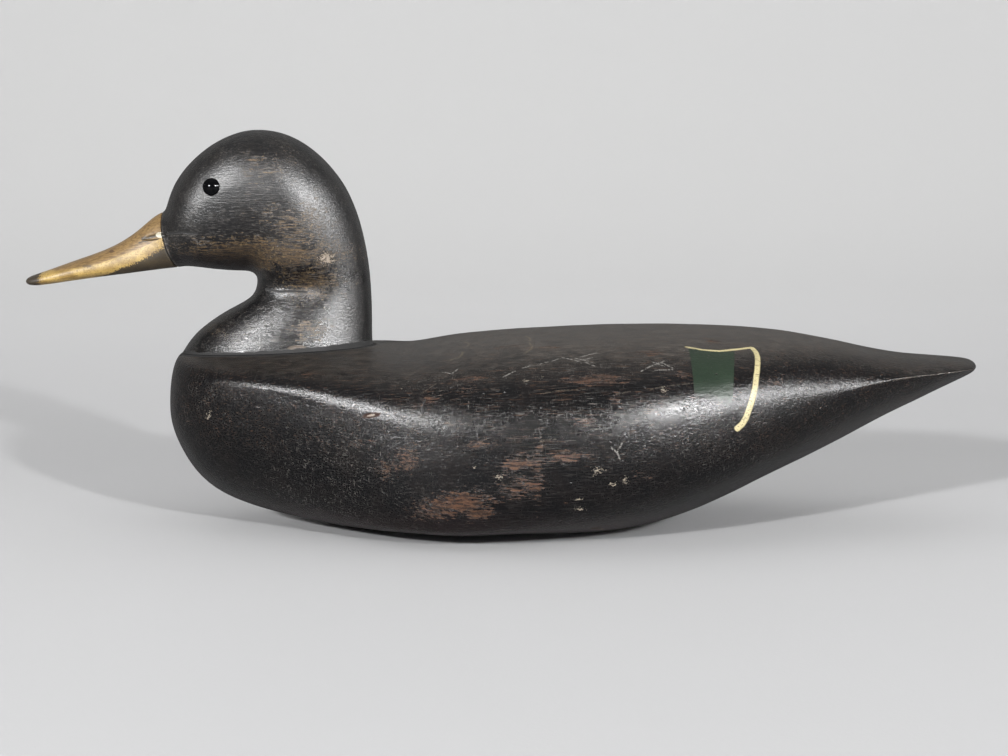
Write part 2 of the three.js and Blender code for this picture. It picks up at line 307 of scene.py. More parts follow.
def arc_from_back(rings, back):
    """How far each point lies round its section from the middle of the back, + on the near side."""
    steps = np.linalg.norm(np.diff(rings, axis=1), axis=2)
    along = np.concatenate([np.zeros((len(rings), 1)), np.cumsum(steps, axis=1)], axis=1)
    return along[:, back][:, None] - along


# Head

def head_side(station):
    """One side of a head section as rows of (y, t), t going from the low point to the high one."""
    low_x, low_z, high_x, high_z, half, mid, high_fullness, low_fullness = station
    half = max(half, 0.01)
    rise = max(math.hypot(high_x - low_x, high_z - low_z), 0.01)
    scale = np.array([1, rise])
    out, up = superellipse(half, low_fullness, 2)
    lower = np.stack([out, mid * (1 - up)], axis=1)[::-1] * scale
    out, up = superellipse(half, high_fullness, 2)
    upper = np.stack([out, mid + (1 - mid) * up], axis=1) * scale
    below = resampled(lower, np.arange(HEAD_LOWER) / HEAD_LOWER)
    above = resampled(upper, np.arange(HEAD_UPPER + 1) / HEAD_UPPER)
    return np.vstack([below, above]) / scale


def tuck(x, z):
    """The share of the head's breadth that is left where the cheek overhangs the neck."""
    level = np.exp(-(((z - TUCK["z"]) / TUCK["reach"]) ** 2))
    return 1 - TUCK["share"] * level * smoothstep(x, TUCK["ends"][1], TUCK["ends"][0])


def head_rings():
    """Rings of the head and the fractional row number of each."""
    outline = Outline(HEAD_ROWS, TIP_TURNED, FOOT_TURNED)
    fine = np.linspace(0, outline.last, HEAD_READS)
    crowd = 1 + 3 * np.exp(-(((fine - SEAM_STATION) / 0.4) ** 2))
    places = evenly(outline.at(fine)[:, :5], HEAD_RINGS, crowd) / (HEAD_READS - 1) * outline.last
    rings = []
    for place, station in zip(places, outline.at(places)):
        from_seam = abs(place - SEAM_STATION)
        groove = SEAM_DEPTH * max(0, 1 - from_seam / SEAM_REACH)
        bow = SEAM_BOW * math.exp(-((from_seam / SEAM_BOW_REACH) ** 2))
        low = np.array([station[0], station[1] + SEAT_GAP])
        rise = np.array([station[2], station[3] + SEAT_GAP]) - low
        shrink = groove / max(np.linalg.norm(rise), 1)
        low = low + rise * shrink
        rise = rise * (1 - 2 * shrink)
        station[4] -= groove
        ring = ring_of(head_side(station))
        t = ring[:, 1]
        x = low[0] + rise[0] * t - bow * 4 * t * (1 - t)
        z = low[1] + rise[1] * t
        rings.append(np.column_stack([x, ring[:, 0] * tuck(x, z), z]))
    return np.array(rings), places


# Meshes

def normals_of(rings):
    """Outward directions of a grid of rings, from the differences along and around it."""
    along = np.gradient(rings, axis=0)
    around = np.roll(rings, -1, axis=1) - np.roll(rings, 1, axis=1)
    outward = np.cross(along, around)
    outward /= np.maximum(np.linalg.norm(outward, axis=2, keepdims=True), 1e-9)
    return outward


def mesh_of_rings(name, rings, open_end):
    """Skins rings in mm into a mesh in metres. The first ring closes to a point, and the last
    one does so too, or with open_end is capped flat."""
    count = rings.shape[1]
    inner = rings[1:] if open_end else rings[1:-1]
    points = [rings[0].mean(axis=0)]
    if not open_end:
        points.append(rings[-1].mean(axis=0))
    skip = len(points)
    points = np.vstack([points, inner.reshape(-1, 3)])
    faces = []
    for j in range(count):
        k = (j + 1) % count
        faces.append((0, skip + j, skip + k))
    for i in range(len(inner) - 1):
        for j in range(count):
            k = (j + 1) % count
            a = skip + i * count
            faces.append((a + j, a + count + j, a + count + k, a + k))
    last = skip + (len(inner) - 1) * count
    if open_end:
        faces.append(tuple(last + j for j in reversed(range(count))))
    else:
        faces.extend((1, last + (j + 1) % count, last + j) for j in range(count))
    mesh = bpy.data.meshes.new(name)
    mesh.from_pydata(points * MM, [], faces)
    mesh.shade_smooth()
    return mesh


def spread(values, open_end):
    """Values on a grid of rings, in the order of the mesh's points."""
    inner = values[1:] if open_end else values[1:-1]
    ends = [values[0].mean()] if open_end else [values[0].mean(), values[-1].mean()]
    return np.concatenate([ends, inner.ravel()])


def add_attributes(mesh, shape, open_end, **grids):
    """Keeps each named grid of values on the mesh's points, for the materials to read."""
    for name, values in grids.items():
        values = spread(np.reshape(values, shape[:2]), open_end)
        layer = mesh.attributes.new(name, "FLOAT", "POINT")
        layer.data.foreach_set("value", values.astype(np.float32))


def add_object(name, mesh, materials):
    piece = bpy.data.objects.new(name, mesh)
    bpy.context.collection.objects.link(piece)
    for material in materials:
        mesh.materials.append(material)
    return piece


# Materials

class Shade:
    """A value or colour in a material, which can be added, multiplied and so on like a number."""

    def __init__(self, graph, socket):
        self.graph = graph
        self.socket = socket

    def __add__(self, other):
        return self.graph.math("ADD", self, other)

    def __sub__(self, other):
        return self.graph.math("SUBTRACT", self, other)

    def __rsub__(self, other):
        return self.graph.math("SUBTRACT", other, self)

    def __mul__(self, other):
        return self.graph.math("MULTIPLY", self, other)

    __radd__ = __add__

    def abs(self):
        return self.graph.math("ABSOLUTE", self)

    def max(self, other):
        return self.graph.math("MAXIMUM", self, other)

    def power(self, other):
        return self.graph.math("POWER", self, other)

    def between(self, low, high):
        """0 at low and 1 at high, with a soft rise between them. Low may be above high."""
        node = self.graph.add("ShaderNodeMapRange", interpolation_type="SMOOTHSTEP")
        self.graph.feed(node.inputs[0], self)
        self.graph.feed(node.inputs[1], low)
        self.graph.feed(node.inputs[2], high)
        return Shade(self.graph, node.outputs[0])


class Graph:
    """A material and the calls that add its nodes."""

    def __init__(self, name):
        self.material = bpy.data.materials.new(name)
        self.material.use_nodes = True
        self.tree = self.material.node_tree
        self.tree.nodes.clear()
        coordinates = self.add("ShaderNodeTexCoord")
        in_metres = Shade(self, coordinates.outputs["Object"])
        self.place = self.scaled(in_metres, (1 / MM, 1 / MM, 1 / MM))
        self.x, self.y, self.z = self.split(self.place)

    def add(self, kind, **settings):
        node = self.tree.nodes.new(kind)
        for key, value in settings.items():
            setattr(node, key, value)
        return node

    def feed(self, socket, value):
        if isinstance(value, Shade):
            self.tree.links.new(value.socket, socket)
        else:
            socket.default_value = value

    def math(self, operation, *values):
        node = self.add("ShaderNodeMath", operation=operation)
        for socket, value in zip(node.inputs, values):
            self.feed(socket, value)
        return Shade(self, node.outputs[0])

    def vector(self, operation, *values):
        node = self.add("ShaderNodeVectorMath", operation=operation)
        for socket, value in zip(node.inputs, values):
            self.feed(socket, value)
        wanted = "Value" if operation in ("LENGTH", "DOT_PRODUCT", "DISTANCE") else "Vector"
        return Shade(self, node.outputs[wanted])

    def scaled(self, place, factors):
        return self.vector("MULTIPLY", place, factors)

    def split(self, place):
        node = self.add("ShaderNodeSeparateXYZ")
        self.feed(node.inputs[0], place)
        return [Shade(self, socket) for socket in node.outputs]

    def joined(self, x, y, z):
        node = self.add("ShaderNodeCombineXYZ")
        for socket, value in zip(node.inputs, (x, y, z)):
            self.feed(socket, value)
        return Shade(self, node.outputs[0])

    def attribute(self, name):
        node = self.add("ShaderNodeAttribute", attribute_name=name)
        return Shade(self, node.outputs["Fac"])

    def noise(self, size, detail=2, rough=0.5, stretch=(1, 1, 1), warp=0, shift=0):
        """Cloudy noise around 0.5 with lumps of that size in mm, times stretch along each axis."""
        node = self.add("ShaderNodeTexNoise")
        factors = tuple(1 / s for s in stretch)
        moved = self.scaled(self.place, factors)
        if shift:
            moved = self.vector("ADD", moved, (shift, shift * 1.7, shift * 0.6))
        self.feed(node.inputs["Vector"], moved)
        node.inputs["Scale"].default_value = 1 / size
        node.inputs["Detail"].default_value = detail
        node.inputs["Roughness"].default_value = rough
        node.inputs["Distortion"].default_value = warp
        return Shade(self, node.outputs[0])

    def cells(self, size, stretch):
        """Distance to the nearest of scattered spots, in their size."""
        node = self.add("ShaderNodeTexVoronoi")
        factors = tuple(1 / s for s in stretch)
        self.feed(node.inputs["Vector"], self.scaled(self.place, factors))
        node.inputs["Scale"].default_value = 1 / size
        return Shade(self, node.outputs["Distance"])

    def mix(self, share, first, second):
        """The first colour where share is 0 and the second where it is 1."""
        node = self.add("ShaderNodeMix", data_type="RGBA")
        self.feed(node.inputs[0], share)
        self.feed(node.inputs[6], first)
        self.feed(node.inputs[7], second)
        return Shade(self, node.outputs[2])

    def stroke(self, start, end, width, place, soft=0.35):
        """1 on a straight stroke between two points of a flat place, fading at its edges."""
        start = Vector((*start, 0))
        line = Vector((*end, 0)) - start
        from_start = self.vector("SUBTRACT", place, tuple(start))
        share = self.vector("DOT_PRODUCT", from_start, tuple(line / line.length_squared))
        clamped = self.math("MINIMUM", share.max(0.0), 1.0)
        nearest = self.scaled_by(tuple(line), clamped)
        distance = self.vector("DISTANCE", from_start, nearest)
        return distance.between(width / 2 + soft, max(width / 2 - soft, 0))

    def scaled_by(self, vector, factor):
        node = self.add("ShaderNodeVectorMath", operation="SCALE")
        node.inputs[0].default_value = vector
        self.feed(node.inputs["Scale"], factor)
        return Shade(self, node.outputs["Vector"])

    def strokes(self, paths, width, place, soft=0.35):
        """The strokes of several paths of points, as one."""
        total = None
        for path in paths:
            for start, end in zip(path, path[1:]):
                one = self.stroke(start, end, width, place, soft)
                total = one if total is None else total.max(one)
        return total

    def edge_on(self):
        """0 where the surface faces the viewer and 1 where it is seen edge on."""
        node = self.add("ShaderNodeLayerWeight")
        node.inputs["Blend"].default_value = 0.5
        return Shade(self, node.outputs["Facing"])

    def spot(self, centre, radii, place):
        """How deep inside an ellipse a place is: 1 in its middle, 0 on its edge, less outside."""
        away = self.vector("SUBTRACT", place, (*centre, 0))
        length = self.vector("LENGTH", self.scaled(away, (1 / radii[0], 1 / radii[1], 0)))
        return 1 - length

    def finish(self, color, roughness, height, **values):
        """The surface itself. height is in mm, and values are plain numbers of its sockets."""
        surface = self.add("ShaderNodeBsdfPrincipled")
        self.feed(surface.inputs["Base Color"], color)
        self.feed(surface.inputs["Roughness"], roughness)
        for name, value in values.items():
            surface.inputs[name.replace("_", " ")].default_value = value
        bump = self.add("ShaderNodeBump")
        bump.inputs["Strength"].default_value = 1.0
        bump.inputs["Distance"].default_value = MM
        self.feed(bump.inputs["Height"], height)
        self.tree.links.new(bump.outputs[0], surface.inputs["Normal"])
        output = self.add("ShaderNodeOutputMaterial")
        self.tree.links.new(surface.outputs[0], output.inputs[0])
        return self.material


def tone(red, green, blue):
    """A colour as the numbers of a picture, 0 to 255."""
    channels = [value / 255 for value in (red, green, blue)]
    linear = [c / 12.92 if c <= 0.04045 else ((c + 0.055) / 1.055) ** 2.4 for c in channels]
    return (*linear, 1.0)


def ellipses(points, rows):
    """How deep each point is inside the nearest of some ellipses, 0 outside them all."""
    best = np.zeros(len(points))
    for x, around, reach_x, reach_around, strength in rows:
        away = np.hypot((points[:, 0] - x) / reach_x, (points[:, 1] - around) / reach_around)
        best = np.maximum(best, strength * np.clip(1.35 - 0.7 * away, 0, 1))
    return best


# Where the black is worn through to brown: x, how far round from the middle of the back, reach
# along and around, and how much. Plus is the near side.
WORN_SPOTS = [
    (4.3, 36.9, 7.0, 3.4, 0.7),
    (20.9, 41.7, 8.0, 2.6, 0.7),
    (41.7, 70.7, 12.0, 3.0, 0.95),
    (36.0, 91.1, 3.8, 1.8, 0.85),
    (49.1, 82.0, 2.3, 3.2, 0.8),
    (-12.8, 65.0, 8.5, 2.8, 0.7),
    (-14.9, 71.5, 3.5, 2.5, 0.6),
    (-40.4, 99.0, 4.8, 5.7, 0.8),
    (-49.3, 102.1, 6.0, 6.0, 0.62),
    (-19.3, 123.6, 16.0, 5.4, 1.0),
    (-9.3, 128.2, 6.5, 4.2, 0.95),
    (9.4, 107.7, 9.8, 3.5, 0.9),
    (15.8, 111.3, 2.4, 14.0, 0.75),
    (27.9, 106.4, 9.5, 2.2, 0.85),
    (8.1, 118.4, 9.5, 5.8, 0.75),
    (-9.1, 98.0, 7.0, 2.0, 0.65),
    (79.4, 66.7, 2.8, 1.8, 0.8),
    (65.9, 51.0, 5.4, 3.4, 0.65),
    (95.3, 33.7, 3.7, 4.4, 0.8),
    (119.2, 61.4, 4.4, 1.7, 0.75),
    (61.4, 115.2, 4.0, 2.0, 0.65),
    (46.0, 153.9, 7.0, 4.0, 0.6),
    (-31.8, 74.2, 5.3, 1.8, 0.7),
    (-84.7, 51.6, 3.6, 3.2, 0.55),
    (-59.3, 89.4, 6.6, 2.1, 0.6),
    (20.0, -64.0, 16.0, 4.0, 0.8),
    (-30.0, -106.0, 18.0, 5.0, 0.85),
    (66.0, -88.0, 9.0, 3.0, 0.8),
    (-96.0, -70.0, 7.0, 4.0, 0.65),
    (118.0, -44.0, 8.0, 3.0, 0.7),
    (38.0, -116.0, 12.0, 6.0, 0.7),
    (-66.0, -58.0, 8.0, 3.0, 0.6),
]
# Where fine scratches hatch the paint.
HATCHED_SPOTS = [
    (-72.9, 100.2, 30.0, 22.0, 0.95),
    (-88.5, 85.9, 16.0, 10.0, 0.8),
    (-135.3, 47.2, 8.0, 9.0, 0.8),
    (-20.0, 87.3, 40.0, 14.0, 0.7),
    (40.0, 92.7, 36.0, 14.0, 0.8),
    (30.0, 60.8, 40.0, 12.0, 0.6),
    (-30.0, 66.7, 18.0, 8.0, 0.7),
    (90.0, 98.8, 26.0, 12.0, 0.6),
    (-60.0, -94.0, 44.0, 24.0, 0.8),
    (50.0, -84.0, 50.0, 20.0, 0.7),
]

# Strokes on the near side of the body, as points of x and how far round.
FEATHER_ARCS = [
    [(12.5, 32.3), (13.8, 37.7), (13.3, 41.7), (10.6, 46.5)],
    [(11.2, 16.4), (13.0, 22.3), (13.0, 28.5)],
    [(-16.6, 17.1), (-14.7, 24.1), (-15.1, 28.3), (-16.8, 31.2)],
    [(-17.2, 38.1), (-17.6, 42.4), (-18.9, 44.8), (-22.8, 47.0)],
]
PALE_SCRATCHES = [
    [(-25.7, 57.9), (-21.7, 60.4), (-19.1, 56.9)],
    [(0.8, 66.0), (6.0, 62.5)],
    [(9.6, 60.5), (12.6, 59.2)],
    [(16.2, 58.4), (20.6, 56.5)],
    [(22.4, 56.0), (26.9, 53.4), (33.4, 57.0)],
    [(32.6, 54.9), (39.9, 58.8)],
    [(33.4, 57.6), (40.0, 55.1)],
    [(34.8, 53.9), (42.0, 50.7)],
    [(36.8, 58.5), (40.7, 61.8)],
    [(61.1, 65.9), (65.2, 62.4), (71.6, 57.9)],
    [(66.3, 59.2), (71.4, 61.9)],
    [(69.8, 59.0), (74.8, 62.7)],
    [(67.3, 64.9), (74.8, 64.0)],
    [(52.0, 101.0), (49.9, 105.0), (47.3, 102.9)],
    [(49.9, 105.0), (51.2, 108.0)],
]
FINE_LINES = [
    [(-36.4, 52.4), (-42.4, 58.2)],
    [(-28.6, 66.2), (-35.0, 70.6)],
    [(17.2, 77.4), (25.5, 76.2), (37.2, 76.3)],
    [(49.6, 79.1), (55.7, 77.9)],
    [(64.5, 76.4), (72.4, 73.7), (95.6, 67.3)],
    [(67.8, 56.1), (82.9, 49.2)],
    [(12.8, 40.6), (36.5, 42.6)],
    [(16.7, 98.5), (23.5, 98.3)],
]
# Chips down to the pale ground: x, how far round, and reach along and around.
PALE_CHIPS = [
    (-131.1, 58.1, 1.3, 1.5),
    (-11.8, 107.8, 0.8, 0.7),
    (-1.0, 113.1, 1.6, 1.2),
    (41.7, 113.0, 2.0, 1.6),
    (53.6, 117.7, 1.1, 2.2),
    (48.4, 119.7, 1.8, 0.9),
    (33.7, 126.6, 1.4, 0.6),
    (34.2, 132.2, 2.0, 0.9),
    (44.3, 158.1, 1.6, 1.4),
    (10.4, 69.5, 1.2, 1.2),
    (17.4, 67.6, 0.9, 0.6),
    (-43.4, 65.7, 0.6, 0.6),
    (70.6, 76.1, 1.2, 1.6),
]
# A short crack in the wood, and a gouge where a splinter came out.
SHORT_CRACK = [(-33.1, 74.5), (-34.1, 77.9), (-33.8, 81.0)]
GOUGE = (-56.6, 77.7)

# The wing patch, drawn on both sides: a green field and a cream line over and behind it.
GREEN_FIELD = {"front": 82.9, "rear": 103.5, "lean": -0.1, "top": 45.2, "foot": 76.2}
CREAM_TOP = [
    (82.5, 43.0), (85.1, 43.9), (88.6, 45.1), (92.5, 45.6), (96.6, 45.6),
    (100.7, 44.2), (105.4, 42.2), (109.7, 40.0), (112.0, 38.9),
]
CREAM_SIDE = [
    (112.0, 39.1), (113.4, 43.4), (113.7, 47.3), (113.4, 51.8), (112.7, 57.1),
    (111.9, 61.5), (111.3, 65.7), (110.4, 69.6), (109.4, 73.6), (108.2, 77.2),
    (106.9, 81.2), (105.3, 84.3), (102.9, 87.1),
]


def body_paint():
    """Old satin black over brown wood, brushed lengthwise, with a green and cream wing patch."""
    g = Graph("body_paint")
    round_near = g.attribute("around")
    flat = g.joined(g.x, round_near, 0.0)
    both = g.joined(g.x, round_near.abs(), 0.0)
    worn_near = g.attribute("worn")
    hatched = g.attribute("hatched")
    dusty = g.attribute("dusty")
    joint = g.attribute("joint")
    rubbed = g.attribute("rubbed")

    mottle = g.noise(16, 3, 0.6)
    patchy = g.noise(5, 3, 0.6, shift=7)
    brush = g.noise(0.8, 3, 0.65, stretch=(14, 1, 1), warp=0.4)
    grain = g.noise(1.0, 3, 0.7, stretch=(1.5, 1, 1), warp=0.5)
    streaks = g.noise(0.8, 4, 0.7, stretch=(9, 1, 1), warp=0.6, shift=3)
    pits = g.cells(2.3, stretch=(1.6, 1, 1)).between(0.2, 0.06) * patchy.between(0.42, 0.58)

    black = g.mix(mottle.between(0.35, 0.7), tone(6, 6, 7), tone(12, 10, 10))
    black = g.mix(brush.between(0.52, 0.72) * 0.6, black, tone(34, 32, 31))
    low = (g.z + (mottle - 0.5) * 14).between(20.0, 6.0)
    black = g.mix(low * 0.5, black, tone(30, 22, 22))
    # Surfaces that face up turn grey-brown, most of all on the back: partly dust, partly a painted
    # sheen of the light from above.
    up_on_back = (g.z - 84).between(-4.0, 5.0) * 0.5 + 0.5
    uneven = 0.12 + patchy.between(0.3, 0.75) * 0.22 + brush.between(0.45, 0.7) * 0.3
    dust = dusty * up_on_back * uneven
    color = g.mix(dust, black, tone(98, 91, 84))

    ragged = worn_near + (streaks - 0.5) * 3.2 + (grain - 0.5) * 1.2
    worn = ragged.between(0.66, 0.84)
    wood = g.mix(brush.between(0.42, 0.6), tone(24, 16, 12), tone(72, 48, 33))
    wood = g.mix(grain.between(0.55, 0.68) * 0.5, wood, tone(92, 68, 50))
    color = g.mix(worn * 0.85, color, wood)
    fine_wear = g.noise(0.55, 3, 0.6, stretch=(18, 1, 1), warp=0.4, shift=17).between(0.58, 0.68)
    fine_wear = fine_wear * patchy.between(0.32, 0.58) * (g.z - 34).between(0.0, 20.0)
    color = g.mix(fine_wear * 0.75, color, tone(68, 51, 40))

    hatch_a = g.noise(0.5, 2, 0.6, stretch=(11, 1.2, 1), warp=1.0, shift=5).between(0.6, 0.7)
    hatch_b = g.noise(0.5, 2, 0.6, stretch=(1, 7, 5), warp=1.2, shift=9).between(0.63, 0.72)
    hatch_c = g.noise(0.8, 3, 0.75, shift=13).between(0.64, 0.72)
    hatch = hatch_a.max(hatch_b).max(hatch_c) * (hatched * patchy.between(0.3, 0.6)).max(0.16)
    color = g.mix(hatch * 0.5, color, tone(110, 106, 101))

    broken = g.noise(0.9, 2, 0.6, shift=21).between(0.4, 0.56)
    arcs = g.strokes(FEATHER_ARCS, 0.7, flat, 0.5) * broken
    color = g.mix(arcs * 0.5, color, tone(104, 94, 74))
    lines = g.strokes(FINE_LINES, 0.3, flat, 0.4) * broken
    color = g.mix(lines * 0.3, color, tone(104, 96, 86))
    scratches = g.strokes(PALE_SCRATCHES, 0.4, flat, 0.45) * broken
    color = g.mix(scratches * 0.5, color, tone(140, 137, 132))
    wobble = g.noise(0.7, 3, 0.7, stretch=(1.6, 1, 1), shift=61)
    chips = None
    for x, around, reach_x, reach_around in PALE_CHIPS:
        one = g.spot((x, around), (reach_x * 1.7, reach_around * 1.6), flat)
        chips = one if chips is None else chips.max(one)
    chips = (chips.max(-0.5) + (wobble - 0.5) * 4.5).between(0.6, 0.9)
    color = g.mix(chips * 0.75, color, tone(136, 126, 112))

    cream_top = g.strokes([CREAM_TOP], 1.7, both, 0.35)
    taper = (g.x - 82.0).between(0.0, 16.0)
    cream_top = cream_top * (0.7 + taper * 0.3)
    cream_side = g.strokes([CREAM_SIDE], 2.3, both, 0.3)
    cream = cream_top.max(cream_side)
    green = wing_patch(g, round_near.abs())
    fine = g.noise(0.7, 3, 0.7, shift=31)
    green_wear = (green * fine.between(0.22, 0.42)) * (1 - pits)
    color = g.mix(green_wear * 0.93, color, g.mix(mottle, tone(20, 32, 22), tone(33, 46, 33)))
    color = g.mix(hatch * green * 0.25, color, tone(70, 78, 64))
    cracks = g.noise(0.45, 2, 0.5, stretch=(8, 1.0, 1.0), shift=41).between(0.56, 0.64)
    cream_tone = g.mix(fine, tone(142, 131, 92), tone(186, 176, 138))
    cream_tone = g.mix(cracks * 0.7, cream_tone, tone(60, 52, 38))
    cream_wear = cream * (fine + 0.2).between(0.38, 0.55)
    color = g.mix(cream_wear, color, cream_tone)

    rub = (rubbed + (streaks - 0.5) * 1.4).between(0.55, 0.8)
    color = g.mix(rub * 0.8, color, tone(84, 78, 72))
    crack = g.strokes([SHORT_CRACK], 0.5, flat, 0.3)
    gouge = g.spot(GOUGE, (4.4, 1.2), flat) + (wobble - 0.5) * 0.7
    color = g.mix(gouge.between(-0.1, 0.15), color, tone(40, 25, 18))
    color = g.mix(gouge.between(0.5, 0.75), color, tone(104, 92, 80))
    # Painted shade: near-black in the gap round the neck's foot and in the crack.
    gap_shade = (joint + (grain - 0.5) * 2.5).between(2.4, 1.2).max(crack)
    color = g.mix(gap_shade * 0.95, color, tone(6, 5, 5))

    roughness = 0.16 + patchy * 0.08 + dust * 0.3 + worn * 0.16 + hatch * 0.12 + chips * 0.2
    roughness = roughness + green_wear * 0.14 + cream_wear * 0.14 + gap_shade * 0.6
    roughness = roughness + g.edge_on().power(3.0) * 0.5
    height = brush * 0.13 + grain * 0.2 - pits * 0.2 - hatch * 0.03 - worn * 0.05
    height = height + cream_wear * 0.06 + mottle * 0.12 - crack * 0.25
    height = height - gouge.between(0.0, 0.6) * 0.4 - chips * 0.1
    return g.finish(color, roughness, height, Specular_IOR_Level=0.1)


def wing_patch(g, around):
    """The green field: straight, slightly leaning sides, with a soft foot."""
    corners = GREEN_FIELD
    lean = (around - corners["top"]) * 0.02
    front = (g.x - corners["front"] - lean).between(0.0, 0.6)
    rear = (g.x - corners["rear"] - (around - corners["top"]) * corners["lean"]).between(0.4, -0.1)
    ragged = g.noise(2.0, 3, 0.7, shift=51)
    top = (around - corners["top"]).between(-0.8, 0.2)
    foot = (around + (ragged - 0.5) * 6).between(corners["foot"] + 1.5, corners["foot"] - 2.5)
    return front * rear * top * foot


# Where the head's black is worn to golden brown: x, z, reach along x and z, and how much.
GOLDEN_SPOTS = [
    (-108, 128, 34, 7, 1.0),
    (-90, 138, 14, 14, 0.75),
    (-104, 146, 10, 8, 0.55),
    (-107, 166, 14, 9, 0.5),
    (-86, 116, 16, 9, 0.7),
    (-88, 93, 10, 5, 0.75),
    (-134, 92, 12, 3, 0.5),
]

# Marks on the near side of the head and bill, as points of x and z. The chip at the neck's foot
# is x and height above the seat, and a stain is x, z, reach along both, and its colour.
CHEEK_CRACK = [(-151.5, 136.8), (-145.0, 137.7), (-137.9, 137.2)]
CHEEK_SCRATCHES = [
    [(-150.5, 135.5), (-144.0, 136.2), (-138.5, 135.9)],
    [(-139.5, 134.8), (-136.0, 131.2), (-132.6, 133.6)],
    [(-137.8, 132.2), (-134.4, 135.2)],
]
NECK_CRACK = [(-107.6, 111.0), (-101.0, 110.1), (-94.0, 110.4), (-89.0, 110.0)]
NECK_CHIP = (-79.0, 125.6)
NECK_MOTTLE = (-87.0, 113.0)
FOOT_CHIP = (-93.0, 2.2)
NOSTRIL_LINE = [(-164.3, 133.8), (-158.0, 135.4), (-151.5, 136.8)]
NOSTRIL_SHADOW = [(-166.0, 132.2), (-157.0, 133.9)]
NOSTRIL_PALE_SPOT = (-155.6, 135.7)
BILL_STAINS = [
    (-151.8, 136.2, 2.4, 1.6, (80, 48, 34)),
    (-154.6, 139.6, 1.8, 1.5, (52, 40, 26)),
    (-179.0, 128.0, 1.8, 0.9, (58, 40, 24)),
    (-190.0, 121.5, 3.4, 0.9, (74, 58, 34)),
]
# The line between the bill's tan upper facet and its pale lower one, as x and then z, and the
# dark lower edge, as x and then the share of the way up each side.
BILL_FACET = [(-202, -184, -164.5, -155.6), (119.3, 122.7, 130, 134.3)]
BILL_EDGE = [(-215, -190, -175, -150), (0.1, 0.16, 0.42, 0.48)]


def head_paint():
    """Satin black, brushed in fine wavy lines, worn golden brown round the cheek and neck."""
    g = Graph("head_paint")
    flat = g.joined(g.x, g.z, 0.0)
    near = g.y.between(2.0, -2.0)
    golden = g.attribute("golden")
    under = g.attribute("under")
    joint = g.attribute("joint")
    seam = g.attribute("seam")

    mottle = g.noise(11, 3, 0.6, shift=4)
    patchy = g.noise(4, 3, 0.6, shift=8)
    brush = g.noise(0.7, 3, 0.65, stretch=(11, 1, 1), warp=0.5, shift=2)
    lines = g.noise(0.42, 2, 0.6, stretch=(14, 1, 1), warp=0.9, shift=6)
    grain = g.noise(1.0, 3, 0.7, warp=0.5)
    streaks = g.noise(0.7, 4, 0.7, stretch=(9, 1, 1), warp=0.7, shift=11)

    black = g.mix(mottle.between(0.35, 0.7), tone(7, 7, 8), tone(14, 12, 11))
    wavy = lines.between(0.54, 0.66) * patchy.between(0.3, 0.7)
    color = g.mix(wavy * 0.7, black, tone(84, 80, 76))
    color = g.mix(brush.between(0.54, 0.72) * 0.35, color, tone(52, 48, 45))
    ragged = golden + (streaks - 0.5) * 2.4 + (patchy - 0.5) * 1.0 + (grain - 0.5) * 1.0
    worn = ragged.between(0.6, 0.95)
    mottled = g.spot(NECK_MOTTLE, (17.0, 11.0), flat) + (grain - 0.5) * 3.0 + (streaks - 0.5) * 2.0
    worn = worn.max(mottled.between(0.3, 0.9) * near * 0.8)
    wood = g.mix(streaks.between(0.4, 0.66), tone(24, 17, 10), tone(78, 61, 38))
    wood = g.mix(lines.between(0.52, 0.62) * 0.7, wood, tone(16, 12, 8))
    wood = g.mix(grain.between(0.56, 0.68) * 0.6, wood, tone(112, 96, 68))
    color = g.mix(worn * 0.85, color, wood)
    # Painted shade: surfaces that face down under the cheek go near-black.
    color = g.mix(under * 0.9, color, tone(12, 9, 10))
    # Painted shade: near-black in the gap at the neck's foot and in the bill's groove, and below,
    # in the cracks.
    gap = (g.x + 150).between(20.0, 90.0) * 1.4 + (patchy - 0.5) * 2.0 + 1.1
    gap_shade = (joint - gap).between(0.3, -0.2).max(seam.abs().between(0.7, 0.2))
    scratches = g.strokes(CHEEK_SCRATCHES, 0.3, flat, 0.4) * near * grain.between(0.42, 0.55)
    color = g.mix(scratches * 0.5, color, tone(96, 92, 88))
    chip = (g.spot(NECK_CHIP, (5.0, 4.2), flat) + (grain - 0.5) * 4).between(0.3, 0.7) * near
    color = g.mix(chip * 0.9, color, tone(132, 120, 106))
    sliver = g.spot(FOOT_CHIP, (4.8, 1.2), g.joined(g.x, joint, 0.0)).between(0.0, 0.3) * near
    color = g.mix(sliver * 0.8, color, tone(84, 74, 64))
    crack = g.strokes([CHEEK_CRACK], 1.0, flat, 0.35)
    crack = crack.max(g.strokes([NECK_CRACK], 0.8, flat, 0.4)) * near
    color = g.mix(gap_shade.max(crack) * 0.95, color, tone(6, 5, 5))
    # Painted highlight: a pale line along the face's edge beside the bill's groove.
    rim = (seam - 1.1).abs().between(0.5, 0.1) * patchy.between(0.3, 0.6)
    color = g.mix(rim * 0.5, color, tone(78, 74, 70))

    above_neck = (g.z - 112).between(0.0, 22.0)
    neck_back = (g.x + 84).between(0.0, 10.0) * (112 - g.z).between(-6.0, 4.0)
    roughness = 0.17 + above_neck * 0.1 + neck_back * 0.07 + patchy * 0.14 + worn * 0.12
    roughness = roughness + gap_shade.max(crack) * 0.6 + g.edge_on().power(3.0) * 0.5
    height = brush * 0.14 + grain * 0.1 + mottle * 0.14 - worn * 0.04 + lines * 0.09
    height = height - crack * 0.1 - chip * grain * 0.6
    return g.finish(color, roughness, height, Specular_IOR_Level=0.15)


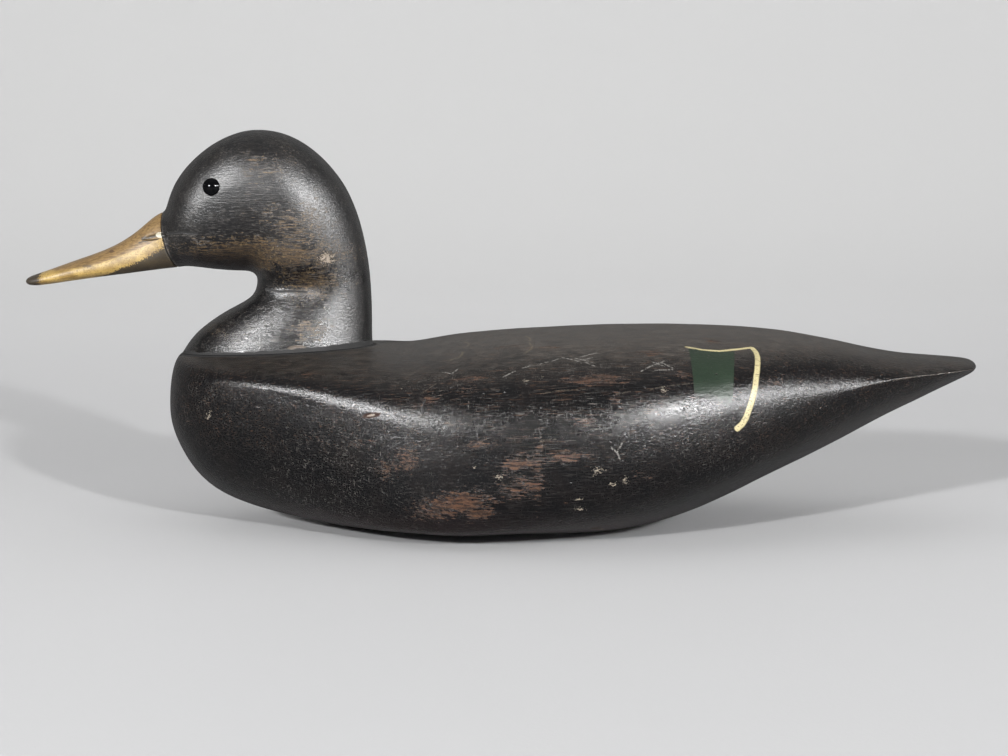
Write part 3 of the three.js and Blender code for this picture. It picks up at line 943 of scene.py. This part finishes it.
def bill_paint():
    """Worn ochre: a pale lower facet, a tan upper one, and a dark edge and tip."""
    g = Graph("bill_paint")
    seam = g.attribute("seam")
    lower = g.attribute("lower")
    upper = g.attribute("upper")

    cloudy = g.noise(5, 4, 0.6, stretch=(2, 1, 1))
    speckle = g.noise(0.7, 3, 0.7, shift=5)
    streaks = g.noise(0.8, 3, 0.6, stretch=(8, 1, 1), shift=9)
    pale = g.mix(cloudy.between(0.35, 0.65), tone(110, 87, 43), tone(146, 122, 69))
    pale = g.mix(speckle.between(0.5, 0.64) * 0.6, pale, tone(78, 60, 28))
    tan = g.mix(streaks.between(0.35, 0.65), tone(86, 66, 38), tone(116, 93, 58))
    color = g.mix(upper.between(0.4, 0.6), pale, tan)
    tip = (g.x + 214).between(6.0, -3.0)
    edge = (lower.max(tip) + (speckle - 0.5) * 1.2).between(0.38, 0.6)
    color = g.mix(edge * 0.92, color, tone(22, 17, 11))
    flat = g.joined(g.x, g.z, 0.0)
    near = g.y.between(2.0, -2.0)
    for x, z, reach_x, reach_z, stain in BILL_STAINS:
        spot = (g.spot((x, z), (reach_x, reach_z), flat) + (speckle - 0.5)).between(0.1, 0.5)
        color = g.mix(spot * near * 0.85, color, tone(*stain))
    nostril = g.strokes([NOSTRIL_LINE], 1.6, flat, 0.5)
    nostril = nostril.max(g.strokes([NOSTRIL_SHADOW], 0.5, flat, 0.3))
    color = g.mix(nostril * 0.85, color, tone(30, 25, 14))
    # A pale spot in the nostril, where the crack meets the bill.
    pale_spot = g.spot(NOSTRIL_PALE_SPOT, (2.9, 1.5), flat).between(0.0, 0.25) * near
    color = g.mix(pale_spot * 0.95, color, tone(172, 166, 148))
    # Painted shade: near-black in the groove where the bill meets the face.
    gap_shade = seam.abs().between(0.6, 0.15)
    color = g.mix(gap_shade * 0.95, color, tone(8, 6, 5))
    roughness = 0.4 + speckle * 0.15
    height = speckle * 0.12 + streaks * 0.1 + cloudy * 0.1
    return g.finish(color, roughness + edge * 0.15, height, Specular_IOR_Level=0.16)


def eye_glass():
    """Black glass, a little hazed by age."""
    g = Graph("eye_glass")
    haze = g.noise(0.9, 3, 0.6)
    color = g.mix(haze.between(0.5, 0.8) * 0.5, tone(5, 5, 6), tone(22, 20, 20))
    roughness = 0.05 + haze.between(0.45, 0.8) * 0.08
    return g.finish(color, roughness, haze * 0.01, Specular_IOR_Level=0.04)


def floor_paper():
    """Pale studio paper with a very faint tooth."""
    g = Graph("floor_paper")
    cloudy = g.noise(220, 2, 0.5)
    near = g.mix(cloudy, tone(173, 173, 174), tone(176, 176, 177))
    front = (g.y + cloudy * 40).between(20.0, -450.0)
    far = g.y.between(300.0, 1700.0)
    color = g.mix(front, near, tone(164, 164, 165))
    color = g.mix(far, color, tone(182, 182, 182))
    return g.finish(color, 0.7, g.noise(1.5, 2, 0.5) * 0.05, Specular_IOR_Level=0.2)


# Pieces

def carve_body(rings):
    """Lets the smooth body show that a hand carved it."""
    points = rings.reshape(-1, 3)
    long_way = points * (0.5, 1, 1)
    swell = 0.22 * smooth_noise(long_way, 26, 1) + 0.1 * smooth_noise(long_way, 9, 2)
    middle = smoothstep(np.abs(points[:, 0] - 33), 186, 170)
    return rings + normals_of(rings) * (swell * middle).reshape(*rings.shape[:2], 1)


def within(points, box):
    """Points in mm kept inside the CAD model's box, which is in metres."""
    return np.clip(points, np.array(box[0]) / MM, np.array(box[1]) / MM)


def foot_distance(points):
    """How far each point is from the outline of the neck's foot, seen from above."""
    middle = (SEAT_FRONT[0] + SEAT_REAR[0]) / 2
    half_length = (SEAT_REAR[0] - SEAT_FRONT[0]) / 2
    scaled = np.abs(np.stack([(points[:, 0] - middle) / half_length, points[:, 1] / FOOT_HALF]))
    radius = (scaled[0] ** 2 + scaled[1] ** FOOT_FULLNESS) ** 0.5
    reach = np.hypot(points[:, 0] - middle, points[:, 1])
    return np.abs(reach * (1 - 1 / np.maximum(radius, 1e-3)))


def make_body():
    rings = body_rings()
    back = BODY_LOWER + BODY_UPPER
    around = arc_from_back(rings, back)
    rings = within(carve_body(rings), cad_box)
    shape = rings.shape
    points = rings.reshape(-1, 3)
    flat = np.column_stack([points[:, 0], around.ravel()])
    mesh = mesh_of_rings("decoy_body", rings, open_end=False)
    tail = smoothstep(points[:, 0], 140, 180)
    edge = np.abs(np.arange(shape[1]) - BODY_LOWER)
    edge = np.minimum(edge, np.abs(np.arange(shape[1]) - (2 * back - BODY_LOWER)))
    rubbed = np.exp(-((edge / 4.0) ** 2))[None, :] * tail.reshape(shape[:2]) * 0.75
    add_attributes(
        mesh,
        shape,
        open_end=False,
        around=around,
        worn=ellipses(flat, WORN_SPOTS),
        hatched=ellipses(flat, HATCHED_SPOTS),
        # Surfaces facing up, for dust and a painted sheen of the light from above.
        dusty=smoothstep(normals_of(rings)[:, :, 2], 0.7, 1.03),
        joint=np.where(points[:, 2] > 70, foot_distance(points), 50),
        rubbed=rubbed,
    )
    mesh.set_sharp_from_angle(angle=SHARP_ANGLE)
    piece = add_object("decoy_body", mesh, [body_paint()])
    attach(piece, "root")
    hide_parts("body")


def seam_distance(places, count):
    """About how far in mm each ring lies from the bill's groove, + on the face side."""
    along = np.interp(places, [0, SEAM_STATION, len(HEAD_ROWS)], [-70.0, 0.0, 65.0])
    return np.repeat(along, count)


def make_head():
    rings, places = head_rings()
    shape = rings.shape
    points = rings.reshape(-1, 3)
    outward = normals_of(rings).reshape(-1, 3)
    swell = 0.12 * smooth_noise(points, 14, 5)
    bill = np.repeat(places < SEAM_STATION + 0.3, shape[1])
    swell = np.where(bill, swell * 0.4, swell)
    points = points + outward * swell[:, None]
    points = carve_nostrils(points, outward)
    points = within(points, cad_box)
    rings = points.reshape(shape)
    mesh = mesh_of_rings("decoy_head", rings, open_end=True)
    step = np.arange(shape[1])
    share_up = np.minimum(step, shape[1] - step) / (HEAD_LOWER + HEAD_UPPER)
    # Surfaces facing down under the cheek, for a painted shade.
    facing_down_shade = smoothstep(-outward[:, 2], 0.35, 0.8) * smoothstep(points[:, 2], 108, 116)
    above = points[:, 2] - np.interp(points[:, 0], *BILL_FACET)
    reach = np.interp(points[:, 0], *BILL_EDGE).reshape(shape[:2])
    seat = np.interp(points[:, 0], *zip(SEAT_FRONT, SEAT_REAR))
    foot = points[:, 2] - (seat + SEAT_GAP)
    add_attributes(
        mesh,
        shape,
        open_end=True,
        seam=seam_distance(places, shape[1]),
        golden=ellipses(points[:, [0, 2]], GOLDEN_SPOTS),
        under=facing_down_shade,
        upper=(0.5 + above / 2).clip(0, 1),
        lower=smoothstep(share_up - reach, 0.14, -0.12),
        joint=foot,
    )
    set_bill_faces(mesh)
    mesh.set_sharp_from_angle(angle=SHARP_ANGLE)
    piece = add_object("decoy_head", mesh, [head_paint(), bill_paint()])
    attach(piece, "root")
    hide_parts("head")
    return piece


def carve_nostrils(points, outward):
    """Sinks a slot with rounded ends into each side of the bill."""
    dx = points[:, 0] - NOSTRIL["x"]
    dz = points[:, 2] - NOSTRIL["z"]
    turn = NOSTRIL["slope"]
    along = (dx * math.cos(turn) + dz * math.sin(turn)) / (NOSTRIL["length"] / 2)
    across = (dz * math.cos(turn) - dx * math.sin(turn)) / (NOSTRIL["height"] / 2)
    inside = smoothstep(1 - np.hypot(along, across), 0, 0.35)
    inside = inside * (np.abs(outward[:, 1]) > 0.3)
    return points - outward * (NOSTRIL["depth"] * inside)[:, None]


def set_bill_faces(mesh):
    """Gives the faces before the groove the bill's material."""
    seam = np.empty(len(mesh.vertices), np.float32)
    mesh.attributes["seam"].data.foreach_get("value", seam)
    for face in mesh.polygons:
        middle = sum(seam[k] for k in face.vertices) / len(face.vertices)
        face.material_index = 1 if middle < 0 else 0


def eye_spot(tree, side):
    """Where an eye sits on the head, and the way it faces: between the wood's way and sideways."""
    start = Vector((EYE["x"], side * 100, EYE["z"])) * MM
    point, normal, _, _ = tree.ray_cast(start, Vector((0, -side, 0)))
    return point, (normal + Vector((0, side, 0))).normalized()


def circles(profile, count):
    """Rings round the Z axis from (radius, height) rows in mm."""
    angles = np.linspace(0, 2 * math.pi, count, endpoint=False)
    rings = []
    for radius, height in profile:
        ring = [np.cos(angles) * radius, np.sin(angles) * radius, np.full(count, height)]
        rings.append(np.stack(ring, axis=1))
    return np.array(rings)


def lathe(name, profile):
    """A round closed mesh from (radius, height) rows in mm, made along +Z."""
    return mesh_of_rings(name, circles(profile, 64), open_end=False)


def place_at(piece, point, normal):
    """Moves a piece's mesh to a point so that its +Z faces along normal."""
    turn = Vector((0, 0, 1)).rotation_difference(normal).to_matrix().to_4x4()
    piece.data.transform(Matrix.Translation(point) @ turn)


def make_eye(name, node, spot, material):
    radius, dome, sunk = EYE["radius"], EYE["dome"], EYE["sunk"]
    ball = (radius * radius + dome * dome) / (2 * dome)
    sweep = math.asin(radius / ball)
    lift = EYE["clearance"]
    profile = [(0.0, lift - sunk), (radius, lift - sunk), (radius, 0.2)]
    steps = 18
    for k in range(1, steps + 1):
        angle = sweep * (1 - k / steps)
        profile.append((ball * math.sin(angle), lift + dome - ball * (1 - math.cos(angle))))
    piece = add_object(name, lathe(name, profile), [material])
    place_at(piece, *spot)
    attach(piece, "root")
    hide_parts(node)


def cut_socket(head, spot):
    """Cuts a round socket for an eye into the head."""
    radius = EYE["radius"] + EYE["clearance"]
    bottom, top = -EYE["sunk"], 8.0
    profile = [(0.0, bottom), (radius, bottom), (radius, top), (0.0, top)]
    cutter = add_object("socket_cutter", lathe("socket_cutter", profile), [])
    place_at(cutter, *spot)
    change = head.modifiers.new("socket", "BOOLEAN")
    change.operation = "DIFFERENCE"
    change.solver = "EXACT"
    change.object = cutter
    depsgraph = bpy.context.evaluated_depsgraph_get()
    result = bpy.data.meshes.new_from_object(head.evaluated_get(depsgraph))
    head.modifiers.remove(change)
    old = head.data
    head.data = result
    bpy.data.meshes.remove(old)
    bpy.data.objects.remove(cutter)


# Surroundings

def make_floor():
    """A round sheet of pale paper that curves up all round, far from the object."""
    flat_radius, bend, wall = 1300.0, 1900.0, 1950.0
    profile = [(0.0, 0.0), (400.0, 0.0), (flat_radius, 0.0)]
    steps = 12
    for k in range(1, steps + 1):
        angle = math.pi / 2 * k / steps
        profile.append((flat_radius + bend * math.sin(angle), bend * (1 - math.cos(angle))))
    profile.append((flat_radius + bend, wall))
    count = 96
    points = circles(profile, count).reshape(-1, 3) * MM
    faces = []
    for start in range(0, len(points) - count, count):
        for j in range(count):
            k = (j + 1) % count
            faces.append((start + j, start + k, start + count + k, start + count + j))
    mesh = bpy.data.meshes.new("floor")
    mesh.from_pydata(points, [], faces)
    mesh.shade_smooth()
    floor = add_object("floor", mesh, [floor_paper()])


def new_lamp(name, size, power):
    light = bpy.data.lights.new(name, "AREA")
    light.shape = "RECTANGLE"
    light.size, light.size_y = size
    light.energy = power
    lamp = bpy.data.objects.new(name, light)
    bpy.context.collection.objects.link(lamp)
    return lamp


def add_light(name, azimuth, size, power, gloss_only=False):
    """A light that faces the object. Azimuth 0 is at the camera, + to its right."""
    lamp = new_lamp(name, size, power)
    lamp.visible_diffuse = not gloss_only
    turn = math.radians(azimuth)
    rise = LAMP_ELEVATION
    level = math.cos(rise)
    way = Vector((math.sin(turn) * level, -math.cos(turn) * level, math.sin(rise)))
    lamp.location = LAMP_TARGET + way * LAMP_DISTANCE
    lamp.rotation_euler = way.to_track_quat("Z", "Y").to_euler()


def add_fill():
    """A wide soft light straight above, and one that washes the paper behind the object."""
    for name, place, tilt, size, power in (
        ("top_light", (0, 0.1, 2.6), 0, 3.0, 17),
        ("back_light", (0, 0.7, 1.7), 74, 1.4, 24),
    ):
        lamp = new_lamp(name, (size, size), power)
        lamp.location = place
        lamp.rotation_euler = (math.radians(tilt), 0, 0)


def make_lights():
    add_light("left_light", -29, (0.1, 0.1), 59)
    add_light("right_light", 28, (0.1, 0.1), 42)
    add_light("left_glow", -37, (0.5, 0.24), 255, gloss_only=True)
    add_light("right_glow", 31, (0.24, 0.24), 265, gloss_only=True)
    add_light("rear_glow", 53, (1.1, 0.24), 225, gloss_only=True)
    add_fill()
    world = bpy.data.worlds.new("studio")
    world.use_nodes = True
    background = world.node_tree.nodes["Background"]
    background.inputs["Color"].default_value = (1.0, 1.0, 1.0, 1.0)
    background.inputs["Strength"].default_value = 0.52
    bpy.context.scene.world = world


def make_camera():
    camera = bpy.data.cameras.new("camera")
    camera.sensor_width = 36
    camera.lens = CAMERA_LENS
    eye = bpy.data.objects.new("camera", camera)
    back = Vector((0, -math.cos(CAMERA_ELEVATION), math.sin(CAMERA_ELEVATION)))
    eye.location = CAMERA_TARGET + back * CAMERA_DISTANCE
    eye.rotation_euler = (math.pi / 2 - CAMERA_ELEVATION, 0, 0)
    bpy.context.collection.objects.link(eye)
    bpy.context.scene.camera = eye
    bpy.context.scene.view_settings.view_transform = "Standard"


make_camera()
make_lights()
make_floor()
make_body()
head = make_head()
depsgraph = bpy.context.evaluated_depsgraph_get()
head_surface = BVHTree.FromObject(head, depsgraph)
glass = eye_glass()
for eye_name, side in (("eye_left", 1), ("eye_right", -1)):
    spot = eye_spot(head_surface, side)
    cut_socket(head, spot)
    make_eye("decoy_" + eye_name, eye_name, spot, glass)
